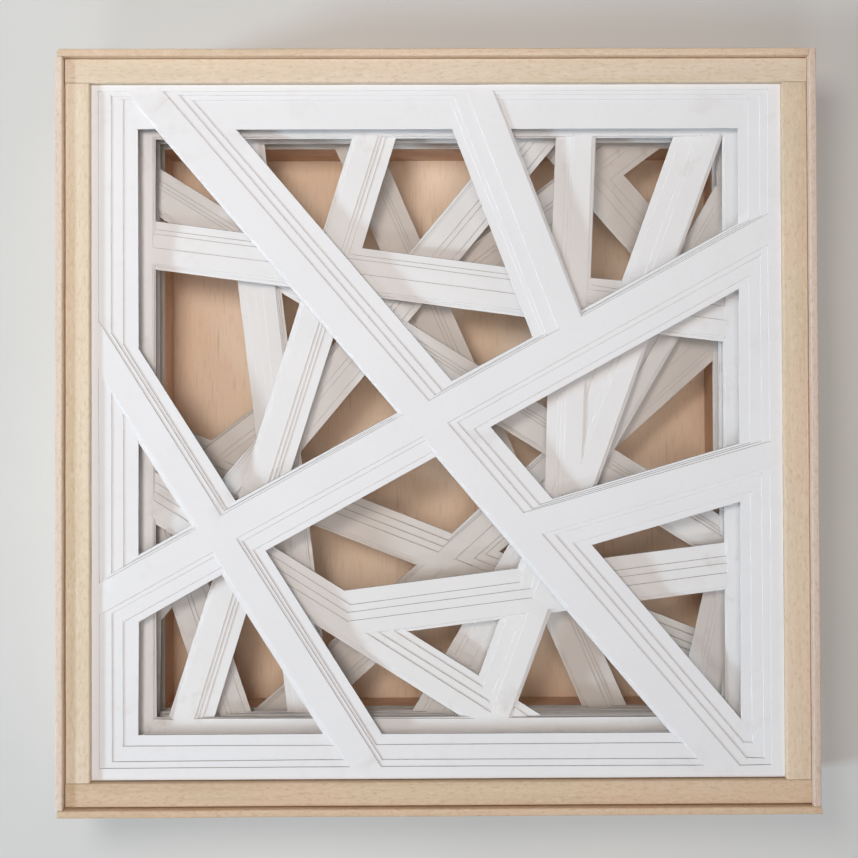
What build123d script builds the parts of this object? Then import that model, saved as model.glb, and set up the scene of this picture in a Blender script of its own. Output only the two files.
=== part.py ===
# Framed paper strip art: a shallow wood box frame that holds tiers of white card.
# Each card sheet is cut from one piece, so its border and its strips stay joined.
# Millimetres. Z is up, the picture faces up, and the back lies on Z = 0.
# X runs to the picture's right and Y to its top. The origin is the outline's middle.
import os
from dataclasses import dataclass

from build123d import *

# Frame, outside
frame_width = 254.0  # across the two side rails, along X
frame_height = 255.4  # across the top and bottom rails, along Y
rail_thickness = 2.5  # thin outer strips that stand on edge
rail_stand = 2.0  # how far the outer rails stand above the ledge
rail_overrun = 0.5  # how far the bottom rail runs past the right rail
rail_end_skew = 0.6  # how much the bottom rail's right end is out of square
rail_setback = 0.6  # how far the bottom rail stops short at the left
rail_end_radius = 1.1  # rounded left end of the top rail
rail_ease = 0.3  # sanded edges along the top of the outer rails

# Ledge, the wider strips just inside the outer rails
ledge_band = 8.35  # from the outer rails to the card's well, with the joint
ledge_stand = 2.0  # how far the ledge stands above the top sheet
ledge_ease = 0.3  # sanded edges along the top of the ledge

# The ledge's joint with each outer rail stands open, unevenly
RAIL_GAPS = {"left": 0.3, "right": 0.15, "top": 0.25, "bottom": 0.45}

# Backing and the wood strips that lift the card off it
backing_thickness = 3.2
riser_height = 19.0
RISER_WIDTHS = {"left": 18.6, "right": 16.2, "top": 15.8, "bottom": 18.4}

# Card
card_thickness = 0.35
card_gap = 0.3  # from the card's edge to the ledge, all round
sheets_per_tier = 4

# Board strips under the borders, from one tier to the next
spacer_thickness = 4.8
spacer_width = 10.0

# Card border on the top tier: its width on the top sheet, then the step to each sheet
# below. Steps are cut by eye, so they are uneven, and they start over past the last.
TOP_TIER_BORDERS = {
    "left": (2.2, (4.1, 3.8, 5.1)),
    "right": (4.2, (2.6, 3.8, 3.4)),
    "top": (1.8, (1.5, 1.3, 9.8)),
    "bottom": (4.1, (2.2, 5.0, 3.7)),
}

# The tiers below start from these widths and grow a little with each sheet
DEEP_BORDERS = {"left": 18.9, "right": 16.9, "top": 15.3, "bottom": 18.8}
border_step = 0.2  # from one sheet to the next in a deep tier
tier_border_step = 0.1  # from one deep tier to the next

SIDES = tuple(DEEP_BORDERS)
NO_GAPS = dict.fromkeys(SIDES, 0)

# How much further a strip's edge reaches on each sheet below, in the same way
WIDE_LAST = (3.0, 2.6, 4.8)
WIDE_FIRST = (4.6, 1.5, 2.8)
WIDE_MIDDLE = (1.6, 4.4, 2.2)
CLOSE = (1.3, 1.2, 3.6)
EVEN = (2.5, 2.9, 2.7)
NARROW = (0.6, 0.4, 0.9)
FINE = (0.3, 0.5, 0.4)


# A strip runs between two places. A place on the border is a side of the card
# and a share of that side, from the left or from the bottom. A place on another
# strip names that strip and a share of its length.
@dataclass
class Strip:
    name: str
    start: tuple
    end: tuple
    width: float  # on the top sheet of its tier
    left_steps: tuple  # on its left edge, seen from its start
    right_steps: tuple


TIER_A = (
    Strip("long", ("top", 0.070), ("bottom", 0.925), 9.2, WIDE_LAST, FINE),
    Strip("arm", ("right", 0.800), ("left", 0.255), 9.4, WIDE_MIDDLE, NARROW),
    Strip("steep", ("top", 0.560), ("arm", 0.300), 8.4, FINE, WIDE_FIRST),
    Strip("fall", ("left", 0.640), ("bottom", 0.405), 8.8, CLOSE, NARROW),
    Strip("brace", ("long", 0.640), ("right", 0.470), 8.6, NARROW, WIDE_MIDDLE),
)
TIER_B = (
    Strip("level", ("left", 0.770), ("right", 0.640), 5.4, WIDE_FIRST, NARROW),
    Strip("climb", ("bottom", 0.100), ("top", 0.420), 6.6, NARROW, CLOSE),
    Strip("lean", ("bottom", 0.560), ("top", 0.930), 6.2, WIDE_MIDDLE, FINE),
    Strip("slope", ("left", 0.440), ("bottom", 0.700), 4.8, EVEN, NARROW),
    Strip("post", ("top", 0.720), ("lean", 0.370), 6.4, FINE, CLOSE),
    Strip("tie", ("slope", 0.520), ("right", 0.290), 4.6, WIDE_LAST, FINE),
)
TIER_C = (
    Strip("rise", ("left", 0.190), ("top", 0.680), 5.0, NARROW, WIDE_MIDDLE),
    Strip("span", ("left", 0.900), ("right", 0.280), 6.2, CLOSE, NARROW),
    Strip("mast", ("bottom", 0.330), ("top", 0.215), 4.8, EVEN, NARROW),
    Strip("cross", ("right", 0.900), ("bottom", 0.470), 5.0, FINE, WIDE_FIRST),
    Strip("corner", ("bottom", 0.880), ("right", 0.520), 5.8, CLOSE, NARROW),
    Strip("stay", ("left", 0.590), ("bottom", 0.200), 5.0, WIDE_MIDDLE, FINE),
)
TIER_D = (
    Strip("low", ("left", 0.500), ("right", 0.110), 5.0, EVEN, NARROW),
    Strip("bank", ("bottom", 0.160), ("right", 0.740), 5.4, NARROW, WIDE_FIRST),
    Strip("drop", ("top", 0.340), ("bottom", 0.780), 6.4, CLOSE, NARROW),
    Strip("back", ("left", 0.350), ("top", 0.860), 4.8, FINE, WIDE_MIDDLE),
    Strip("side", ("top", 0.620), ("right", 0.560), 5.0, WIDE_LAST, FINE),
)
TIERS = {"a": TIER_A, "b": TIER_B, "c": TIER_C, "d": TIER_D}

# Sizes that follow from those above
inner_width = frame_width - 2 * rail_thickness
inner_height = frame_height - 2 * rail_thickness
well_width = inner_width - 2 * ledge_band
well_height = inner_height - 2 * ledge_band
card_width = well_width - 2 * card_gap
card_height = well_height - 2 * card_gap

tier_thickness = sheets_per_tier * card_thickness
tier_pitch = tier_thickness + spacer_thickness
riser_top_z = backing_thickness + riser_height
card_top_z = riser_top_z + len(TIERS) * tier_thickness + (len(TIERS) - 1) * spacer_thickness
ledge_top_z = card_top_z + ledge_stand
rail_top_z = ledge_top_z + rail_stand

# Only the bottom rail runs past a side, so the outline's middle is off the card's
outline_middle_x = rail_overrun / 2


def box(x_range, y_range, z_range):
    """A box between two values on each axis."""
    sizes = [high - low for low, high in (x_range, y_range, z_range)]
    middle = [(low + high) / 2 for low, high in (x_range, y_range, z_range)]
    return Pos(*middle) * Box(*sizes)


def eased_top(solid, top_z, ease):
    """The solid with its long top edges broken, as sandpaper leaves them."""
    top_edges = solid.edges().filter_by_position(Axis.Z, top_z, top_z)
    longest = max(edge.length for edge in top_edges)
    return chamfer([edge for edge in top_edges if edge.length > longest / 2], ease)


def backing_panel():
    """The plywood panel that closes the back, between the outer rails."""
    x, y = inner_width / 2, inner_height / 2
    return box((-x, x), (-y, y), (0, backing_thickness))


def bottom_rail():
    """It runs under both side rails, with a short left end and a skewed right end."""
    outer_y = -frame_height / 2
    inner_y = outer_y + rail_thickness
    left = -frame_width / 2 + rail_setback
    tip = frame_width / 2 + rail_overrun
    neck = tip - rail_end_skew
    plan = Polygon((left, outer_y), (tip, outer_y), (neck, inner_y), (left, inner_y), align=None)
    return eased_top(extrude(plan, rail_top_z), rail_top_z, rail_ease)


def top_rail():
    """It covers the left rail's end, with a rounded corner, and stops at the right rail."""
    outer_y = frame_height / 2
    rail = box(
        (-frame_width / 2, inner_width / 2),
        (outer_y - rail_thickness, outer_y),
        (0, rail_top_z),
    )
    corner = rail.edges().filter_by(Axis.Z).group_by(Axis.X)[0].sort_by(Axis.Y)[-1]
    return eased_top(fillet(corner, rail_end_radius), rail_top_z, rail_ease)


def left_rail():
    """It fits between the top and bottom rails."""
    y = inner_height / 2
    rail = box((-frame_width / 2, -inner_width / 2), (-y, y), (0, rail_top_z))
    return eased_top(rail, rail_top_z, rail_ease)


def right_rail():
    """It runs from the bottom rail up past the top rail's end."""
    rail = box(
        (inner_width / 2, frame_width / 2),
        (-inner_height / 2, frame_height / 2),
        (0, rail_top_z),
    )
    return eased_top(rail, rail_top_z, rail_ease)


def ring(outer_x, outer_y, gaps, widths, z_range):
    """Four strips round a rectangle, each at its own gap inside it, by side.

    The top and bottom strips run through, and the side strips fit between them.
    """
    left, right = -outer_x + gaps["left"], outer_x - gaps["right"]
    bottom, top = -outer_y + gaps["bottom"], outer_y - gaps["top"]
    lower, upper = bottom + widths["bottom"], top - widths["top"]
    return {
        "top": box((left, right), (upper, top), z_range),
        "bottom": box((left, right), (bottom, lower), z_range),
        "left": box((left, left + widths["left"]), (lower, upper), z_range),
        "right": box((right - widths["right"], right), (lower, upper), z_range),
    }


def ledge_rails():
    """The frame's inner strips, whose tops show as a flat ledge round the card."""
    widths = {side: ledge_band - gap for side, gap in RAIL_GAPS.items()}
    z_range = (backing_thickness, ledge_top_z)
    strips = ring(inner_width / 2, inner_height / 2, RAIL_GAPS, widths, z_range)
    return {side: eased_top(strip, ledge_top_z, ledge_ease) for side, strip in strips.items()}


def risers():
    """Wood strips on the backing that carry the card."""
    z_range = (backing_thickness, riser_top_z)
    return ring(well_width / 2, well_height / 2, NO_GAPS, RISER_WIDTHS, z_range)


def spacers(upper_tier):
    """Board strips hidden under the borders of the tier with this number."""
    top_z = card_top_z - upper_tier * tier_pitch - tier_thickness
    widths = dict.fromkeys(SIDES, spacer_width)
    z_range = (top_z - spacer_thickness, top_z)
    return ring(card_width / 2, card_height / 2, NO_GAPS, widths, z_range)


def reach(first, steps, level):
    """A width on the sheet with this number, from the top sheet's width and the steps below it."""
    return first + sum(steps[index % len(steps)] for index in range(level))


def place(spot, lines):
    """The point in plan that a place stands for."""
    side, share = spot
    if side in lines:
        start, end = lines[side]
        return start + (end - start) * share
    along_x = card_width * (share - 0.5)
    along_y = card_height * (share - 0.5)
    on_border = {
        "left": (-card_width / 2, along_y),
        "right": (card_width / 2, along_y),
        "bottom": (along_x, -card_height / 2),
        "top": (along_x, card_height / 2),
    }
    return Vector(*on_border[side])


def centre_lines(strips):
    """Each strip's two end points, by the strip's name."""
    lines = {}
    for strip in strips:
        lines[strip.name] = (place(strip.start, lines), place(strip.end, lines))
    return lines


def strip_outline(strip, line, level):
    """The strip's outline on one sheet, run past the card's edge where it ends there."""
    start, end = line
    along = (end - start).normalized()
    to_left = Vector(-along.Y, along.X)
    left = to_left * reach(strip.width / 2, strip.left_steps, level)
    right = to_left * -reach(strip.width / 2, strip.right_steps, level)
    run_out = along * (card_width + card_height) / 4
    if strip.start[0] in SIDES:
        start = start - run_out
    if strip.end[0] in SIDES:
        end = end + run_out
    corners = (start + left, start + right, end + right, end + left)
    return Polygon(*[(corner.X, corner.Y) for corner in corners], align=None)


def border_widths(tier, level):
    """Border width by side, for a sheet of the tier with this number."""
    if tier == 0:
        return {side: reach(*border, level) for side, border in TOP_TIER_BORDERS.items()}
    growth = (tier - 1) * tier_border_step + level * border_step
    return {side: width + growth for side, width in DEEP_BORDERS.items()}


def card_sheet(tier, level):
    """One card sheet in its place: a border and the strips across its opening."""
    width = border_widths(tier, level)
    blank = Rectangle(card_width, card_height)
    opening = Rectangle(
        card_width - width["left"] - width["right"],
        card_height - width["bottom"] - width["top"],
    )
    offset_x = (width["left"] - width["right"]) / 2
    offset_y = (width["bottom"] - width["top"]) / 2
    plan = blank - Pos(offset_x, offset_y) * opening
    strips = list(TIERS.values())[tier]
    lines = centre_lines(strips)
    for strip in strips:
        plan += strip_outline(strip, lines[strip.name], level) & blank
    underside_z = card_top_z - tier * tier_pitch - (level + 1) * card_thickness
    return Pos(0, 0, underside_z) * extrude(plan, card_thickness)


def pieces():
    """Every piece of the object, by name."""
    found = {"backing_panel": backing_panel()}
    found["outer_rail_top"] = top_rail()
    found["outer_rail_bottom"] = bottom_rail()
    found["outer_rail_left"] = left_rail()
    found["outer_rail_right"] = right_rail()
    for side, strip in ledge_rails().items():
        found[f"ledge_rail_{side}"] = strip
    for side, strip in risers().items():
        found[f"riser_{side}"] = strip
    letters = list(TIERS)
    for tier, letter in enumerate(letters):
        for level in range(sheets_per_tier):
            found[f"card_{letter}{level + 1}"] = card_sheet(tier, level)
    for tier, (upper, lower) in enumerate(zip(letters, letters[1:])):
        for side, strip in spacers(tier).items():
            found[f"spacer_{upper}{lower}_{side}"] = strip
    return found


os.makedirs("parts", exist_ok=True)
for name, piece in pieces().items():
    export_step(Pos(-outline_middle_x, 0, 0) * piece, f"parts/{name}.step")
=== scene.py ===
"""Dresses the framed paper strip art: hand-cut card, bare basswood and a birch plywood back."""
import math
import random

import bmesh
import bpy
import numpy as np
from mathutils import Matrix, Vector, noise
from mathutils.geometry import delaunay_2d_cdt


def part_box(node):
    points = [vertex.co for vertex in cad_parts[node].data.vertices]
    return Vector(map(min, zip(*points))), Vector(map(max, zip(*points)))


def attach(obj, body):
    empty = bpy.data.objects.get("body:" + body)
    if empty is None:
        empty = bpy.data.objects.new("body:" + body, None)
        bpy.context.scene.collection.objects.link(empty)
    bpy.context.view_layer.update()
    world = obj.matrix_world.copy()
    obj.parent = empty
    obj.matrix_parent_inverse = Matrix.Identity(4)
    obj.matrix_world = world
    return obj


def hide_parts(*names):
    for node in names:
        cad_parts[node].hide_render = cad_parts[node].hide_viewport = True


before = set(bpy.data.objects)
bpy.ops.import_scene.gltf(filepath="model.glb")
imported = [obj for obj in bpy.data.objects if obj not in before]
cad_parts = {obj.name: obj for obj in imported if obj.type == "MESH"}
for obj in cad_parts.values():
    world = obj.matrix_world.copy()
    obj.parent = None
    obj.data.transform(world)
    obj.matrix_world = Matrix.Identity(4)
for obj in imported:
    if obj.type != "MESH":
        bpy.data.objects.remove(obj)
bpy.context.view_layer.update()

MM = 0.001
SIDES = ("top", "bottom", "left", "right")
ALONG = {"top": "X", "bottom": "X", "left": "Y", "right": "Y"}
OUTWARD = {"top": (0, 1, 0), "bottom": (0, -1, 0), "left": (-1, 0, 0), "right": (1, 0, 0)}
UP = Vector((0, 0, 1))
TIERS = "abcd"
SHEETS_PER_TIER = 4
ROOT = "root"

# Camera: straight above the picture, as in the photograph
IMAGE_SIZE = 858
FOCAL_PX = 1082
SENSOR_WIDTH = 36.0
CAMERA_PLACE = (-0.00525, -0.00317, 0.40559)
CAMERA_TURN = (0.0106, -0.0058, -0.0038)
CLIP_START = 0.01

# Working on meshes
MERGE_DISTANCE = 1e-6
SAME_PLACE = 1e-7
FLAT_ANGLE = math.radians(1)  # faces that turn less than this are one face
SHARP_ANGLE = math.radians(30)  # wooden edges that turn more than this are sanded
CUT_ANGLE = math.radians(60)  # rims of a card turn more than this
WOOD_SMOOTH = math.radians(35)  # edges that turn less than this are shaded as round
CARD_SMOOTH = math.radians(30)
FIBRE_SMOOTH = math.radians(60)
FACES_UP = 0.9  # height of a normal, above which a face counts as a top

# Hand-cut card
CARD_STEP = 3.0 * MM  # distance between points along a cut
CARD_GRID = 6.0 * MM  # distance between points inside a sheet
CORNER_ERROR = 0.22 * MM  # how far a knife corner may miss
CUT_WANDER = 0.035 * MM  # unevenness of a cut along a ruler
CARD_EASE = 0.04 * MM  # softened rim of the cut
CUT_LEAN = 0.04 * MM  # how far a cut's lower edge stands out, because the knife leans
UPPER_LEAN = 0.12 * MM  # how much further on the edges that face the picture's top
CARD_LIFT = 0.05 * MM  # how far a sheet lies below its place where the stack dips
CARD_AIR = 0.11 * MM  # thin air gap under each sheet, beside the glue
LEDGE_REACH = 1.0 * MM  # cuts this near to the sheet's top edge lie at the ledge
CUT_RIPPLE = 60  # ripples per metre along a cut
NOISE_GAIN = 2  # noise seldom passes half of its range
DIP_RIPPLE = 22  # dips per metre over a sheet
DIP_SEED = 3.7  # sets the dips of the sheets apart
LEAST_TURN = 0.003  # sine of the smallest turn that is a corner
GRID_CLEAR = 0.4  # how near to a cut a point of the grid may lie, as a share of the grid
SEEDS_PER_TIER = 10

# How far each side of a trimmed sheet reaches past its mark, towards the ledge
TRIM = {"left": 0.22 * MM, "right": 0.22 * MM, "top": 0.22 * MM, "bottom": -0.2 * MM}

# Where a cut runs past a corner
OVERCUT = (0.4 * MM, 1.2 * MM)
OVERCUT_WIDTH = 0.08 * MM
OVERCUT_SHARE = 0.4  # how many of the cuts run past
SLIT_DEPTH = 0.08 * MM
SLIT_PROUD = 0.012 * MM  # how far a slit's grey face, painted shade for the dark inside of the cut, lies above the card, so that it shows

# Strips and panel
JOINT_LINE = 0.10 * MM  # how far a side strip's ends stop short of the strips across them
TOP_RAIL_SHORT = 0.6 * MM  # how far the top rail's left end stops short of the left rail's face
RAIL_END = 3.0 * MM  # length of a strip's end that moves when the strip is drawn in
STRIP_STEP = 4.0 * MM  # distance between the places where a strip can bend
PANEL_STEP = 12.0 * MM
WANDER_RIPPLE = 45  # slow bends per metre of a strip
FINE_RIPPLE = 300  # quick bends per metre
FINE_SHARE = 0.25  # size of the quick bends, as a share of the slow ones
WANDER_HEIGHT = 0.3  # share of the wander that goes up and down
WANDER_SEED = (31, 17)  # sets the wander of the pieces apart

# Softened edge and wander of each kind of piece
RAIL_FORM = (0.12 * MM, 0.11 * MM)
LEDGE_FORM = (0.12 * MM, 0.05 * MM)
RISER_FORM = (0.15 * MM, 0.04 * MM)
PANEL_FORM = (0.10 * MM, 0.03 * MM)
SPACER_FORM = (0.08 * MM, 0.03 * MM)

# Painted shade: cut edges that face the picture's top are greyed, as shade would darken them
EDGE_SHADE_GREY = (156, 153, 152)
SHADE_FACING = (0.1, 0.6)  # from where to where the painted shade sets in, as the edge turns to the top
SHADE_LEAN = 0.2  # how much an edge that faces right counts as well
CARD_FLAT = (0.8, 0.95)  # height of a normal, from a cut edge to the card's face

# Dried glue near the card's corners
GLUE = (168, 146, 124)
GLUE_REACH = (0.072, 0.1)  # how far out it starts and is full

# Surroundings
BACKDROP = (0.80, 0.80, 0.79, 1.0)
ROOM_LIGHT = (1.0, 0.95, 0.92, 1.0)
ROOM_STRENGTH = 0.145
FLOOR_FADE = (0.3, 2.0)  # from where to where the floor is lifted, out from the object
FLOOR_LIFT = 0.5
FLOOR_SIZE = 6
LIT_HEIGHT = 0.04  # the height that the lamps point at
WINDOW_BLUE = (0.66, 0.86, 1.0)
SKY_BLUE = (0.81, 0.90, 1.0)
WARM_WHITE = (1.0, 0.93, 0.87)

# Fuzz along the outer rails
FIBRES = {"left": 26, "right": 14, "top": 10, "bottom": 22}
FIBRE_LENGTH = (0.4 * MM, 1.3 * MM)
FIBRE_WIDTH = (0.05 * MM, 0.11 * MM)
FIBRE_DEPTH = (0.3 * MM, 1.2 * MM)  # how far below the rail's top edge it leaves the wood
FIBRE_ROOT = 0.15 * MM  # how far in the wood it starts
FIBRE_LEAN = (0.15, 0.8)
FIBRE_CURL = (-0.2, 0.6)
FIBRE_TAPER = 0.85
FIBRE_RINGS = 4
FIBRE_SEED = 7


def srgb(red, green, blue):
    """Linear colour from the 0 to 255 values of a screen."""
    parts = [value / 255 for value in (red, green, blue)]
    linear = [p / 12.92 if p <= 0.04045 else ((p + 0.055) / 1.055) ** 2.4 for p in parts]
    return (*linear, 1.0)


def plus(values, *changes):
    """Three values, each with its own change added, or all of them with the one that is given."""
    changes = changes * 3 if len(changes) == 1 else changes
    return [value + change for value, change in zip(values, changes)]


def drawn_out(along, share):
    """The scale that draws a pattern out along an axis."""
    return (share, 1, 1) if along == "X" else (1, share, 1)


# Materials

class Graph:
    """A material's node tree, with one short method for each kind of node used."""

    def __init__(self, name, roughness, specular):
        self.material = bpy.data.materials.new(name)
        self.material.use_nodes = True
        self.tree = self.material.node_tree
        self.tree.nodes.clear()
        output = self.tree.nodes.new("ShaderNodeOutputMaterial")
        self.shader = self.tree.nodes.new("ShaderNodeBsdfPrincipled")
        self.tree.links.new(self.shader.outputs[0], output.inputs["Surface"])
        self.shader.inputs["Roughness"].default_value = roughness
        self.shader.inputs["Specular IOR Level"].default_value = specular
        place = self.tree.nodes.new("ShaderNodeTexCoord")
        self.place = place.outputs["Object"]
        self.normal = place.outputs["Normal"]

    def put(self, value, socket):
        if isinstance(value, bpy.types.NodeSocket):
            self.tree.links.new(value, socket)
        else:
            socket.default_value = value

    def scaled(self, scale, shift):
        node = self.tree.nodes.new("ShaderNodeMapping")
        self.put(self.place, node.inputs["Vector"])
        node.inputs["Scale"].default_value = scale
        node.inputs["Location"].default_value = shift
        return node.outputs[0]

    def noise(self, vector, scale, detail=3.0, roughness=0.55, distortion=0.0):
        node = self.tree.nodes.new("ShaderNodeTexNoise")
        self.put(vector, node.inputs["Vector"])
        node.inputs["Scale"].default_value = scale
        node.inputs["Detail"].default_value = detail
        node.inputs["Roughness"].default_value = roughness
        node.inputs["Distortion"].default_value = distortion
        return node.outputs["Fac"]

    def bands(self, vector, scale, direction, distortion):
        node = self.tree.nodes.new("ShaderNodeTexWave")
        node.bands_direction = direction
        self.put(vector, node.inputs["Vector"])
        node.inputs["Scale"].default_value = scale
        node.inputs["Distortion"].default_value = distortion
        return node.outputs["Fac"]

    def between(self, value, low, high):
        """0 below low and 1 above high, smooth between."""
        node = self.tree.nodes.new("ShaderNodeMapRange")
        node.interpolation_type = "SMOOTHSTEP"
        self.put(value, node.inputs["Value"])
        node.inputs["From Min"].default_value = low
        node.inputs["From Max"].default_value = high
        return node.outputs["Result"]

    def math(self, operation, first, second=0.0):
        node = self.tree.nodes.new("ShaderNodeMath")
        node.operation = operation
        self.put(first, node.inputs[0])
        self.put(second, node.inputs[1])
        return node.outputs[0]

    def mix(self, share, first, second):
        node = self.tree.nodes.new("ShaderNodeMix")
        node.data_type = "RGBA"
        self.put(share, node.inputs["Factor"])
        self.put(first, node.inputs[6])
        self.put(second, node.inputs[7])
        return node.outputs[2]

    def length(self, vector):
        node = self.tree.nodes.new("ShaderNodeVectorMath")
        node.operation = "LENGTH"
        self.put(vector, node.inputs[0])
        return node.outputs["Value"]

    def axis(self, vector, letter):
        node = self.tree.nodes.new("ShaderNodeSeparateXYZ")
        self.put(vector, node.inputs[0])
        return node.outputs[letter]

    def reach(self, vector, letter):
        """How far a vector goes along an axis, either way."""
        return self.math("ABSOLUTE", self.axis(vector, letter))

    def tint(self, colour, pattern, low, high, share, tone):
        """Lays a tone over a colour where a pattern rises from low to high, up to a share."""
        cover = self.math("MULTIPLY", self.between(pattern, low, high), share)
        return self.mix(cover, colour, srgb(*tone))

    def finish(self, colour, height=None, depth=0.0):
        self.put(colour, self.shader.inputs["Base Color"])
        if height is not None:
            node = self.tree.nodes.new("ShaderNodeBump")
            node.inputs["Distance"].default_value = depth
            self.put(height, node.inputs["Height"])
            self.tree.links.new(node.outputs[0], self.shader.inputs["Normal"])
        return self.material


def paper(name, white, stain, shift):
    """Smooth matte card, with cleaner cut edges, painted shade on the cut edges that face the top, and
    a little dried glue near its corners.
    """
    g = Graph(name, roughness=0.8, specular=0.2)
    at = g.scaled((1, 1, 1), shift)
    cloud = g.noise(at, 24, detail=2)
    face = g.mix(g.between(cloud, 0.3, 0.7), srgb(*white), srgb(*plus(white, -3)))
    mottle = g.noise(at, 520, detail=3)
    face = g.tint(face, mottle, 0.45, 0.8, 0.25, plus(white, -8))
    rubs = g.noise(g.scaled(drawn_out("Y", 0.3), plus(shift, 2)), 110, detail=4, roughness=0.7)
    face = g.tint(face, rubs, 0.62, 0.78, 0.4 * stain, plus(white, -20))
    blots = g.noise(g.scaled((1, 1, 1), plus(shift, 5)), 105, detail=3, roughness=0.6)
    across = g.between(g.reach(g.place, "X"), *GLUE_REACH)
    along = g.between(g.reach(g.place, "Y"), *GLUE_REACH)
    near = g.math("MULTIPLY", g.math("ADD", across, along), 0.5)
    face = g.tint(face, blots, 0.54, 0.76, g.math("MULTIPLY", near, stain), GLUE)
    # Painted shade: cut edges that face the top, and a little those that face right, are greyed
    facing = g.math("ADD", g.axis(g.normal, "Y"), g.math("MULTIPLY", g.axis(g.normal, "X"), SHADE_LEAN))
    edge = g.mix(g.between(facing, *SHADE_FACING), srgb(*plus(white, 6)), srgb(*EDGE_SHADE_GREY))
    colour = g.mix(g.between(g.reach(g.normal, "Z"), *CARD_FLAT), edge, face)
    fibres = g.noise(g.scaled(drawn_out("Y", 0.4), shift), 2400, detail=3, roughness=0.6)
    return g.finish(colour, fibres, 0.008 * MM)


def foam_board(name, shift):
    """White board with smooth paper skins over a slightly greyer foam core."""
    g = Graph(name, roughness=0.75, specular=0.25)
    cloud = g.noise(g.scaled((1, 1, 1), shift), 60, detail=3)
    skin = g.mix(g.between(cloud, 0.3, 0.7), srgb(236, 234, 232), srgb(230, 227, 224))
    foam = g.noise(g.scaled((1, 1, 1), shift), 1300, detail=2)
    core = g.mix(g.between(foam, 0.4, 0.7), srgb(231, 228, 225), srgb(219, 215, 210))
    colour = g.mix(g.between(g.reach(g.normal, "Z"), 0.4, 0.8), core, skin)
    return g.finish(colour, foam, 0.02 * MM)


def strip_wood(name, along, pale, dark, shift, speckle):
    """Bare basswood: faint long grain under a fine mottle of short flecks, and a few pores."""
    grain = drawn_out(along, 0.03)
    short = drawn_out(along, 0.35)
    g = Graph(name, roughness=0.6, specular=0.3)
    broad = g.noise(g.scaled(grain, shift), 210, detail=4, roughness=0.55, distortion=0.3)
    colour = g.tint(srgb(*pale), broad, 0.34, 0.68, 0.75, dark)
    patches = g.noise(g.scaled((1, 1, 1), shift), 30, detail=2)
    colour = g.tint(colour, patches, 0.4, 0.65, 0.4, plus(pale, 3, -6, -4))
    fibres = g.noise(g.scaled(grain, shift), 1900, detail=4, roughness=0.65)
    warm = plus(dark, -16, -24, -30)
    colour = g.tint(colour, fibres, 0.48, 0.72, 0.2, warm)
    flecks = g.noise(g.scaled(short, shift), 1150, detail=2, roughness=0.6)
    colour = g.tint(colour, flecks, 0.52, 0.66, 0.34, warm)
    glints = g.noise(g.scaled(short, plus(shift, 4)), 900, detail=2, roughness=0.6)
    colour = g.tint(colour, glints, 0.54, 0.68, 0.45, plus(pale, 6, 8, 8))
    pores = g.noise(g.scaled((1, 1, 1), shift), 2400, detail=1)
    colour = g.tint(colour, pores, 0.64, 0.72, speckle, plus(dark, -42, -54, -62))
    rings = g.noise(g.scaled((1, 1, 0.25), shift), 900, detail=3)
    end_colour = g.mix(g.between(rings, 0.35, 0.65), srgb(*plus(dark, -14)), srgb(*plus(dark, -40)))
    colour = g.mix(g.between(g.reach(g.normal, along), 0.6, 0.8), colour, end_colour)
    return g.finish(colour, fibres, 0.04 * MM)


def plywood(name, pale, dark, shift):
    """Rotary-cut birch: broad soft figure along Y, faint pores, and plies along its edges."""
    g = Graph(name, roughness=0.6, specular=0.25)
    warp = g.noise(g.scaled(drawn_out("Y", 0.3), shift), 10, detail=3, roughness=0.5, distortion=0.5)
    rings = g.math("FRACT", g.math("MULTIPLY", warp, 6.0))
    swing = g.math("ABSOLUTE", g.math("SUBTRACT", rings, 0.5))
    colour = g.tint(srgb(*pale), swing, 0.05, 0.5, 0.4, dark)
    cloud = g.noise(g.scaled(drawn_out("Y", 0.5), shift), 26, detail=3)
    colour = g.tint(colour, cloud, 0.35, 0.7, 0.35, dark)
    pores = g.noise(g.scaled(drawn_out("Y", 0.1), shift), 1300, detail=3, roughness=0.65)
    colour = g.tint(colour, pores, 0.5, 0.74, 0.35, plus(dark, -20, -28, -32))
    streaks = g.noise(g.scaled(drawn_out("Y", 0.05), shift), 460, detail=1)
    colour = g.tint(colour, streaks, 0.72, 0.79, 0.35, (150, 112, 80))
    plies = g.bands(g.scaled((1, 1, 1), shift), 330, "Z", 0.4)
    edge = g.mix(g.between(plies, 0.4, 0.6), srgb(218, 190, 154), srgb(166, 128, 92))
    colour = g.mix(g.between(g.reach(g.normal, "Z"), 0.4, 0.7), edge, colour)
    return g.finish(colour, pores, 0.03 * MM)


def seen_ray(tree):
    """1 for rays that show a background, and 0 for the light that falls on the object."""
    path = tree.nodes.new("ShaderNodeLightPath")
    total = path.outputs["Is Camera Ray"]
    for kind in ("Is Glossy Ray", "Is Transmission Ray"):
        node = tree.nodes.new("ShaderNodeMath")
        node.operation = "ADD"
        node.use_clamp = True
        tree.links.new(total, node.inputs[0])
        tree.links.new(path.outputs[kind], node.inputs[1])
        total = node.outputs[0]
    return total


def floor_finish():
    """A plain pale table top, which stays pale far from the lamps."""
    g = Graph("pale_floor", roughness=0.9, specular=0.1)
    cloud = g.noise(g.place, 6, detail=2)
    colour = g.mix(g.between(cloud, 0.3, 0.7), srgb(224, 223, 221), srgb(219, 218, 216))
    g.shader.inputs["Emission Color"].default_value = BACKDROP
    far = g.between(g.length(g.place), *FLOOR_FADE)
    strength = g.math("MULTIPLY", far, g.math("MULTIPLY", seen_ray(g.tree), FLOOR_LIFT))
    g.put(strength, g.shader.inputs["Emission Strength"])
    return g.finish(colour)


# Wood pieces: the CAD solids with softened edges and a little unevenness

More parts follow.
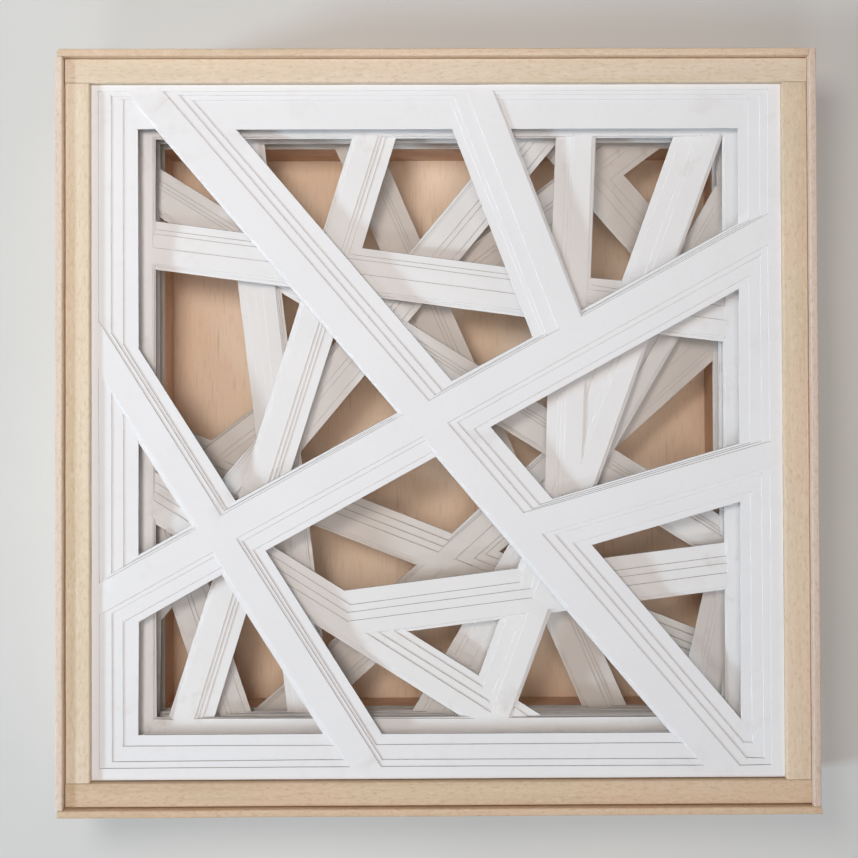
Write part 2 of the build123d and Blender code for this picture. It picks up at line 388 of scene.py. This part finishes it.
def clean_mesh(node):
    """A working copy of a CAD node's mesh, with whole faces in place of its triangles."""
    work = bmesh.new()
    work.from_mesh(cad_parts[node].data)
    bmesh.ops.remove_doubles(work, verts=work.verts, dist=MERGE_DISTANCE)
    bmesh.ops.dissolve_limit(work, angle_limit=FLAT_ANGLE, verts=work.verts, edges=work.edges)
    return work


def new_piece(name, work, materials, node):
    """Turns a working mesh into a named piece, which stands for a CAD node if one is given."""
    mesh = bpy.data.meshes.new(name)
    work.to_mesh(mesh)
    work.free()
    for material in materials:
        mesh.materials.append(material)
    piece = bpy.data.objects.new(name, mesh)
    bpy.context.scene.collection.objects.link(piece)
    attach(piece, ROOT)
    if node:
        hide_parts(node)


def smooth_by_angle(work, limit):
    """Shades a mesh as round, but for the edges that turn as much as the limit or more."""
    for face in work.faces:
        face.smooth = True
    for edge in work.edges:
        edge.smooth = edge.calc_face_angle(0) < limit


def wooden(node, along, ease, wander, material, slot, step=STRIP_STEP, joint=0):
    """A strip with sanded edges whose faces wander a little along its length."""
    work = clean_mesh(node)
    shorten(work, node, along, joint)
    sharp = [edge for edge in work.edges if edge.calc_face_angle(0) > SHARP_ANGLE]
    bmesh.ops.bevel(
        work, geom=sharp, offset=ease, segments=2, profile=0.5, affect="EDGES", clamp_overlap=True
    )
    axis = {"X": Vector((1, 0, 0)), "Y": Vector((0, 1, 0))}[along]
    low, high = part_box(node)
    length = (high - low).dot(axis)
    start = low.dot(axis)
    count = int(length / step)
    for index in range(1, count):
        place = axis * (start + length * index / count)
        parts = work.verts[:] + work.edges[:] + work.faces[:]
        bmesh.ops.bisect_plane(work, geom=parts, dist=SAME_PLACE, plane_co=place, plane_no=axis)
    seed = Vector((low.x * WANDER_SEED[0], low.y * WANDER_SEED[1], len(node)))
    for vert in work.verts:
        swing = noise.noise_vector(vert.co * WANDER_RIPPLE + seed) * wander
        fine = noise.noise_vector(vert.co * FINE_RIPPLE + seed) * wander * FINE_SHARE
        move = swing + fine
        move -= axis * move.dot(axis)
        move.z *= WANDER_HEIGHT
        vert.co += move
    bmesh.ops.triangulate(work, faces=[f for f in work.faces if len(f.verts) > 4])
    smooth_by_angle(work, WOOD_SMOOTH)
    new_piece(f"{node}_wood", work, [material], node)


def shorten(work, node, along, joint):
    """Draws the ends in: fine joint lines at the side strips, and the top rail's short end."""
    letter = along.lower()
    low, high = (getattr(corner, letter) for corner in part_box(node))
    draw_in = {"start": joint, "end": joint}
    if node == "outer_rail_top":
        draw_in["start"] = TOP_RAIL_SHORT
    for vert in work.verts:
        place = getattr(vert.co, letter)
        if place - low < RAIL_END:
            setattr(vert.co, letter, place + draw_in["start"])
        elif high - place < RAIL_END:
            setattr(vert.co, letter, place - draw_in["end"])


def wood_fibres(material):
    """Splinters and fuzz that the saw left along the outer rails' top edges."""
    dice = random.Random(FIBRE_SEED)
    work = bmesh.new()
    for side, count in FIBRES.items():
        low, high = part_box(f"outer_rail_{side}")
        for _ in range(count):
            share = dice.random()
            x = {"left": low.x, "right": high.x}.get(side, low.x + (high.x - low.x) * share)
            y = {"bottom": low.y, "top": high.y}.get(side, low.y + (high.y - low.y) * share)
            out = Vector(OUTWARD[side])
            along = Vector((out.y, out.x, 0)) * dice.choice((-1, 1))
            start = Vector((x, y, high.z - dice.uniform(*FIBRE_DEPTH))) - out * FIBRE_ROOT
            fibre(work, start, out, along, dice)
    smooth_by_angle(work, FIBRE_SMOOTH)
    new_piece("wood_fibres", work, [material], None)


def fibre(work, start, out, along, dice):
    """One thin tapering fibre that leaves the wood at a slant and curls up."""
    length = dice.uniform(*FIBRE_LENGTH)
    width = dice.uniform(*FIBRE_WIDTH)
    lean, curl = dice.uniform(*FIBRE_LEAN), dice.uniform(*FIBRE_CURL)
    rings = []
    for part in range(FIBRE_RINGS):
        share = part / (FIBRE_RINGS - 1)
        middle = start + (along * share + out * lean * share + UP * curl * share ** 2) * length
        size = width * (1 - FIBRE_TAPER * share)
        corners = ((out + UP) * size, (out - UP) * size, -out * size)
        rings.append([work.verts.new(middle + corner) for corner in corners])
    for first, second in zip(rings, rings[1:]):
        for a in range(3):
            b = (a + 1) % 3
            work.faces.new((first[a], first[b], second[b], second[a]))
    work.faces.new(rings[0][::-1])
    work.faces.new(rings[-1])


# Card sheets

def outlines(node):
    """The closed outlines of a sheet's top face, each a list of points in plan."""
    work = bmesh.new()
    work.from_mesh(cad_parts[node].data)
    bmesh.ops.remove_doubles(work, verts=work.verts, dist=MERGE_DISTANCE)
    tops = {face for face in work.faces if face.normal.z > FACES_UP}
    rim = {}
    for edge in work.edges:
        if sum(face in tops for face in edge.link_faces) == 1:
            for loop in edge.link_loops:
                if loop.face in tops:
                    rim[loop.vert] = loop.link_loop_next.vert
    found = []
    while rim:
        first = next(iter(rim))
        points, vert = [], first
        while vert in rim:
            points.append(Vector((vert.co.x, vert.co.y)))
            vert = rim.pop(vert)
        found.append(without_straight_points(points))
    work.free()
    return sorted(found, key=lambda points: -loop_size(points))


def loop_size(points):
    """How wide an outline is."""
    xs = [point.x for point in points]
    return max(xs) - min(xs)


def without_straight_points(points):
    """The outline's real corners only."""
    kept = []
    for index, point in enumerate(points):
        before = (point - points[index - 1]).normalized()
        after = (points[(index + 1) % len(points)] - point).normalized()
        if abs(before.cross(after)) > LEAST_TURN:
            kept.append(point)
    return kept


def trimmed(points, low, high):
    """A sheet's outer outline, moved out or in on each side as it was trimmed."""
    middle = (low + high) / 2
    return [
        point + Vector((
            TRIM["right"] if point.x > middle.x else -TRIM["left"],
            TRIM["top"] if point.y > middle.y else -TRIM["bottom"],
        ))
        for point in points
    ]


def missed_corners(points, dice):
    """Corners as a hand cuts them, each a little off its mark."""
    return [
        point + Vector((dice.uniform(-1, 1), dice.uniform(-1, 1))) * CORNER_ERROR
        for point in points
    ]


def cut_line(points, seed):
    """Points along every cut, with the knife's small wander between the corners."""
    line = []
    for index, start in enumerate(points):
        end = points[(index + 1) % len(points)]
        run = end - start
        count = max(1, int(run.length / CARD_STEP))
        side = Vector((-run.y, run.x)).normalized()
        for part in range(count):
            share = part / count
            fade = math.sin(math.pi * share)
            at = start + run * share
            drift = noise.noise(Vector((at.x * CUT_RIPPLE, at.y * CUT_RIPPLE, seed))) * CUT_WANDER
            line.append(at + side * drift * NOISE_GAIN * fade)
    return line


def card_sheet(node, material, seed):
    """Makes one hand-cut sheet in the place of its CAD solid, and lists its overcuts."""
    dice = random.Random(seed)
    low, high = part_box(node)
    loops = outlines(node)
    outer = trimmed(loops[0], low, high)
    gaps = [missed_corners(gap, dice) for gap in loops[1:]]
    lines = [cut_line(outer, seed)] + [cut_line(gap, seed) for gap in gaps]
    points, edges = [], []
    for line in lines:
        first = len(points)
        points.extend(line)
        edges.extend((first + i, first + (i + 1) % len(line)) for i in range(len(line)))
    points.extend(inner_points(low, high, points))
    verts, _, faces, _, _, _ = delaunay_2d_cdt(points, edges, [], 0, SAME_PLACE)
    kept = inside_faces(verts, faces, lines)
    sheet_mesh(node, verts, kept, high.z, high.z - low.z, material, seed)
    return [slit for gap in gaps for slit in overcuts(gap, high.z, seed, dice)]


def surface(x, y, top_z, seed):
    """Height of a sheet's top face, which dips a little here and there."""
    wave = noise.noise(Vector((x * DIP_RIPPLE, y * DIP_RIPPLE, seed * DIP_SEED)))
    return top_z - CARD_LIFT * (0.5 - 0.5 * wave)


def overcuts(gap, top_z, seed, dice):
    """Thin slits where a cut ran past the corner, into the card."""
    turn = sum(a.cross(b) for a, b in zip(gap, gap[1:] + gap[:1]))
    found = []
    for index, corner in enumerate(gap):
        before, after = gap[index - 1], gap[(index + 1) % len(gap)]
        opens = (corner - before).cross(after - corner) * turn > 0
        for origin in (before, after):
            length = dice.uniform(*OVERCUT)
            if not opens or dice.random() > OVERCUT_SHARE:
                continue
            along = (corner - origin).normalized()
            side = Vector((-along.y, along.x)) * OVERCUT_WIDTH / 2
            spots = (corner - side, corner + along * length, corner + side)
            found.append([(s.x, s.y, surface(s.x, s.y, top_z, seed) + SLIT_PROUD) for s in spots])
    return found


def knife_marks(name, slits, material):
    """All the slits of one tier as one piece, each a closed wedge that is sunk in the card, with a
    grey top that is painted shade for the dark inside of the cut.
    """
    work = bmesh.new()
    for spots in slits:
        upper = [work.verts.new(spot) for spot in spots]
        lower = [work.verts.new((x, y, z - SLIT_DEPTH)) for x, y, z in spots]
        work.faces.new(upper)
        work.faces.new(lower[::-1])
        for a in range(3):
            b = (a + 1) % 3
            work.faces.new((upper[b], upper[a], lower[a], lower[b]))
    bmesh.ops.recalc_face_normals(work, faces=work.faces)
    new_piece(name, work, [material], None)


def inner_points(low, high, rim):
    """A staggered grid of points over the sheet, clear of the cuts."""
    rim = np.array([tuple(point) for point in rim])
    found = []
    rows = int((high.y - low.y) / CARD_GRID)
    columns = int((high.x - low.x) / CARD_GRID)
    for row in range(1, rows):
        for column in range(1, columns):
            x = low.x + (column + 0.5 * (row % 2)) * CARD_GRID
            y = low.y + row * CARD_GRID
            if x > high.x - CARD_GRID / 2:
                continue
            if np.hypot(rim[:, 0] - x, rim[:, 1] - y).min() > CARD_GRID * GRID_CLEAR:
                found.append(Vector((x, y)))
    return found


def inside_faces(verts, faces, lines):
    """The triangles that lie on card: within the outer line and in none of the gaps."""
    flat = np.array([tuple(vert) for vert in verts])
    index = np.array(faces)
    middle = flat[index].mean(axis=1)
    crossings = np.zeros(len(middle), int)
    for line in lines:
        ring = np.array([tuple(point) for point in line])
        following = np.roll(ring, -1, axis=0)
        for (x1, y1), (x2, y2) in zip(ring, following):
            spans = (y1 > middle[:, 1]) != (y2 > middle[:, 1])
            if not spans.any() or y1 == y2:
                continue
            x_at = x1 + (middle[:, 1] - y1) * (x2 - x1) / (y2 - y1)
            crossings += spans & (middle[:, 0] < x_at)
    return index[crossings % 2 == 1]


def rim_pairs(faces):
    """The pairs of points that lie on one triangle only, each with the card on its left."""
    pairs = {pair for a, b, c in faces.tolist() for pair in ((a, b), (b, c), (c, a))}
    return sorted((a, b) for a, b in pairs if (b, a) not in pairs)


def leaning(verts, rim):
    """Where the rim's points lie at the foot of the cut, a little outside those at its top."""
    outward = {}
    for a, b in rim:
        run = (verts[b] - verts[a]).normalized()
        for point in (a, b):
            outward[point] = outward.get(point, Vector((0, 0))) + Vector((run.y, -run.x))
    top_y = max(verts[point].y for point in outward)
    foot = {}
    for point, side in outward.items():
        side = side.normalized()
        at_ledge = verts[point].y > top_y - LEDGE_REACH
        extra = 0 if at_ledge else UPPER_LEAN * max(0, side.y)
        foot[point] = verts[point] + side * (CUT_LEAN + extra)
    return foot


def rise(edge):
    return abs(edge.verts[0].co.z - edge.verts[1].co.z)


def sheet_mesh(node, verts, faces, top_z, thickness, material, seed):
    """A thin solid from the flat triangles, with softened rims and a little air under it."""
    work = bmesh.new()
    body = thickness - CARD_LIFT - CARD_AIR
    used = sorted(set(faces.ravel().tolist()))
    level = {i: surface(*verts[i], top_z, seed) for i in used}
    rim = rim_pairs(faces)
    foot = leaning(verts, rim)
    upper = {i: work.verts.new((*verts[i], level[i])) for i in used}
    lower = {i: work.verts.new((*foot.get(i, verts[i]), level[i] - body)) for i in used}
    for a, b, c in faces.tolist():
        work.faces.new((upper[a], upper[b], upper[c]))
        work.faces.new((lower[c], lower[b], lower[a]))
    for a, b in rim:
        work.faces.new((upper[b], upper[a], lower[a], lower[b]))
    work.normal_update()
    edge_lines = [edge for edge in work.edges if edge.calc_face_angle(0) > CUT_ANGLE]
    rims = [edge for edge in edge_lines if rise(edge) < body / 2]
    bmesh.ops.bevel(
        work, geom=rims, offset=CARD_EASE, segments=1, affect="EDGES", clamp_overlap=True
    )
    smooth_by_angle(work, CARD_SMOOTH)
    new_piece(f"{node}_sheet", work, [material], node)


# Stage, lights and camera

def floor():
    bpy.ops.mesh.primitive_plane_add(size=FLOOR_SIZE)
    plane = bpy.context.object
    plane.name = "floor"
    plane.data.materials.append(floor_finish())


def lamp(name, place, target, width, height, power, colour):
    data = bpy.data.lights.new(name, "AREA")
    data.color = colour
    data.shape = "RECTANGLE"
    data.size, data.size_y = width, height
    data.energy = power
    thing = bpy.data.objects.new(name, data)
    bpy.context.scene.collection.objects.link(thing)
    thing.location = place
    thing.rotation_euler = (Vector(target) - Vector(place)).to_track_quat("-Z", "Y").to_euler()


def studio_world():
    """Faint light from all round, seen as a pale backdrop."""
    world = bpy.data.worlds.new("studio")
    bpy.context.scene.world = world
    world.use_nodes = True
    tree = world.node_tree
    backgrounds = []
    for colour, strength in ((ROOM_LIGHT, ROOM_STRENGTH), (BACKDROP, 1.0)):
        node = tree.nodes.new("ShaderNodeBackground")
        node.inputs["Color"].default_value = colour
        node.inputs["Strength"].default_value = strength
        backgrounds.append(node.outputs[0])
    mix = tree.nodes.new("ShaderNodeMixShader")
    tree.links.new(seen_ray(tree), mix.inputs[0])
    for socket, background in zip(mix.inputs[1:], backgrounds):
        tree.links.new(background, socket)
    tree.links.new(mix.outputs[0], tree.nodes["World Output"].inputs["Surface"])


def lights():
    """Two cool windows, at the left and below, and soft warm light from above and the right."""
    studio_world()
    middle = (0, 0, LIT_HEIGHT)
    lamp("left_window", (-1.50, -0.35, 0.71), middle, 0.26, 0.16, 14.8, WINDOW_BLUE)
    lamp("lower_window", (-0.30, -1.05, 1.45), middle, 0.40, 0.24, 3.3, SKY_BLUE)
    lamp("right_fill", (1.35, 0.10, 0.95), middle, 0.90, 0.90, 2.8, WARM_WHITE)
    lamp("ceiling", (0.0, -0.15, 2.4), middle, 1.0, 1.0, 11.4, WARM_WHITE)
    lamp("near", (-0.13, 0.11, 0.49), (-0.13, 0.11, LIT_HEIGHT), 0.12, 0.12, 0.81, WARM_WHITE)


def camera():
    data = bpy.data.cameras.new("camera")
    data.sensor_width = SENSOR_WIDTH
    data.lens = FOCAL_PX / IMAGE_SIZE * SENSOR_WIDTH
    data.clip_start = CLIP_START
    thing = bpy.data.objects.new("camera", data)
    bpy.context.scene.collection.objects.link(thing)
    thing.location = CAMERA_PLACE
    thing.rotation_euler = CAMERA_TURN
    bpy.context.scene.camera = thing


# Build

# Each strip's own tone, partly painted light and shade: the left strips are toned lighter and the
# bottom and right ones darker, as the light falls off from the top left
RAIL_TONES_AND_SHADE = {
    "top": ((229, 206, 182), (211, 186, 157)),
    "bottom": ((221, 196, 168), (205, 176, 145)),
    "left": ((230, 212, 196), (215, 192, 169)),
    "right": ((222, 203, 188), (204, 181, 161)),
}
LEDGE_TONES_AND_SHADE = {
    "top": ((227, 211, 190), (214, 193, 164)),
    "bottom": ((219, 196, 168), (203, 176, 144)),
    "left": ((233, 218, 196), (221, 202, 173)),
    "right": ((227, 207, 183), (215, 192, 165)),
}
# The risers' basswood is toned darker and redder than the rails', partly painted shade for the walls
# deep in the well
RISER_TONES_AND_SHADE = ((219, 185, 158), (205, 165, 137))
PANEL_TONES = ((248, 225, 202), (235, 202, 172))

# Where the strips lie in the grain: the first place, and the step from side to side
RAIL_GRAIN = ((0, 0, 0), (1.7, 2.3, 0.9))
LEDGE_GRAIN = ((5, 3, 0), (1.3, 2.9, 0.7))
RISER_GRAIN = ((9, 7, 0), (2.1, 1.1, 1.0))
PANEL_GRAIN = (2.0, 5.0, 1.0)
BOARD_GRAIN = (8, 8, 0)


def grain_place(grain, number):
    first, step = grain
    return tuple(start + number * move for start, move in zip(first, step))


for number, side in enumerate(SIDES):
    along = ALONG[side]
    joint = JOINT_LINE if along == "Y" else 0
    shift = grain_place(RAIL_GRAIN, number)
    rail = strip_wood(f"basswood_rail_{side}", along, *RAIL_TONES_AND_SHADE[side], shift, speckle=0.5)
    wooden(f"outer_rail_{side}", along, *RAIL_FORM, rail, "rail_wood", joint=joint)
    shift = grain_place(LEDGE_GRAIN, number)
    ledge = strip_wood(f"basswood_ledge_{side}", along, *LEDGE_TONES_AND_SHADE[side], shift, speckle=0.25)
    wooden(f"ledge_rail_{side}", along, *LEDGE_FORM, ledge, "ledge_wood", joint=joint)
    shift = grain_place(RISER_GRAIN, number)
    riser = strip_wood(f"basswood_riser_{side}", along, *RISER_TONES_AND_SHADE, shift, speckle=0.3)
    wooden(f"riser_{side}", along, *RISER_FORM, riser, "riser_wood")

fuzz = Graph("basswood_fuzz", roughness=0.8, specular=0.2).finish(srgb(226, 200, 170))
wood_fibres(fuzz)

panel = plywood("birch_plywood", *PANEL_TONES, PANEL_GRAIN)
wooden("backing_panel", "Y", *PANEL_FORM, panel, "backing_ply", step=PANEL_STEP)

# Tone of each tier's card, and how much it is stained; the deeper tiers are toned darker and warmer,
# as painted shade for their depth
CARD_TONES = {
    "a": ((240, 239, 241), 0.10),
    "b": ((239, 237, 237), 0.35),
    "c": ((233, 229, 227), 0.55),
    "d": ((222, 214, 208), 0.60),
}
card_papers = {
    tier: paper(f"white_card_{tier}", white, stain, (number * 2.0, number * 3.0, 0))
    for number, (tier, (white, stain)) in enumerate(CARD_TONES.items())
}
# Painted shade: a flat grey for the dark inside of the slits
slit_shade = Graph("slit_shade", roughness=0.9, specular=0.1).finish(srgb(160, 156, 154))
for number, tier in enumerate(TIERS):
    slits = []
    for level in range(1, SHEETS_PER_TIER + 1):
        seed = number * SEEDS_PER_TIER + level
        slits += card_sheet(f"card_{tier}{level}", card_papers[tier], seed)
    knife_marks(f"knife_marks_{tier}", slits, slit_shade)

board = foam_board("foam_board", BOARD_GRAIN)
for upper, lower in zip(TIERS, TIERS[1:]):
    for side in SIDES:
        name = f"spacer_{upper}{lower}_{side}"
        wooden(name, ALONG[side], *SPACER_FORM, board, "spacer_board")

floor()
lights()
camera()
bpy.context.scene.view_settings.view_transform = "Standard"
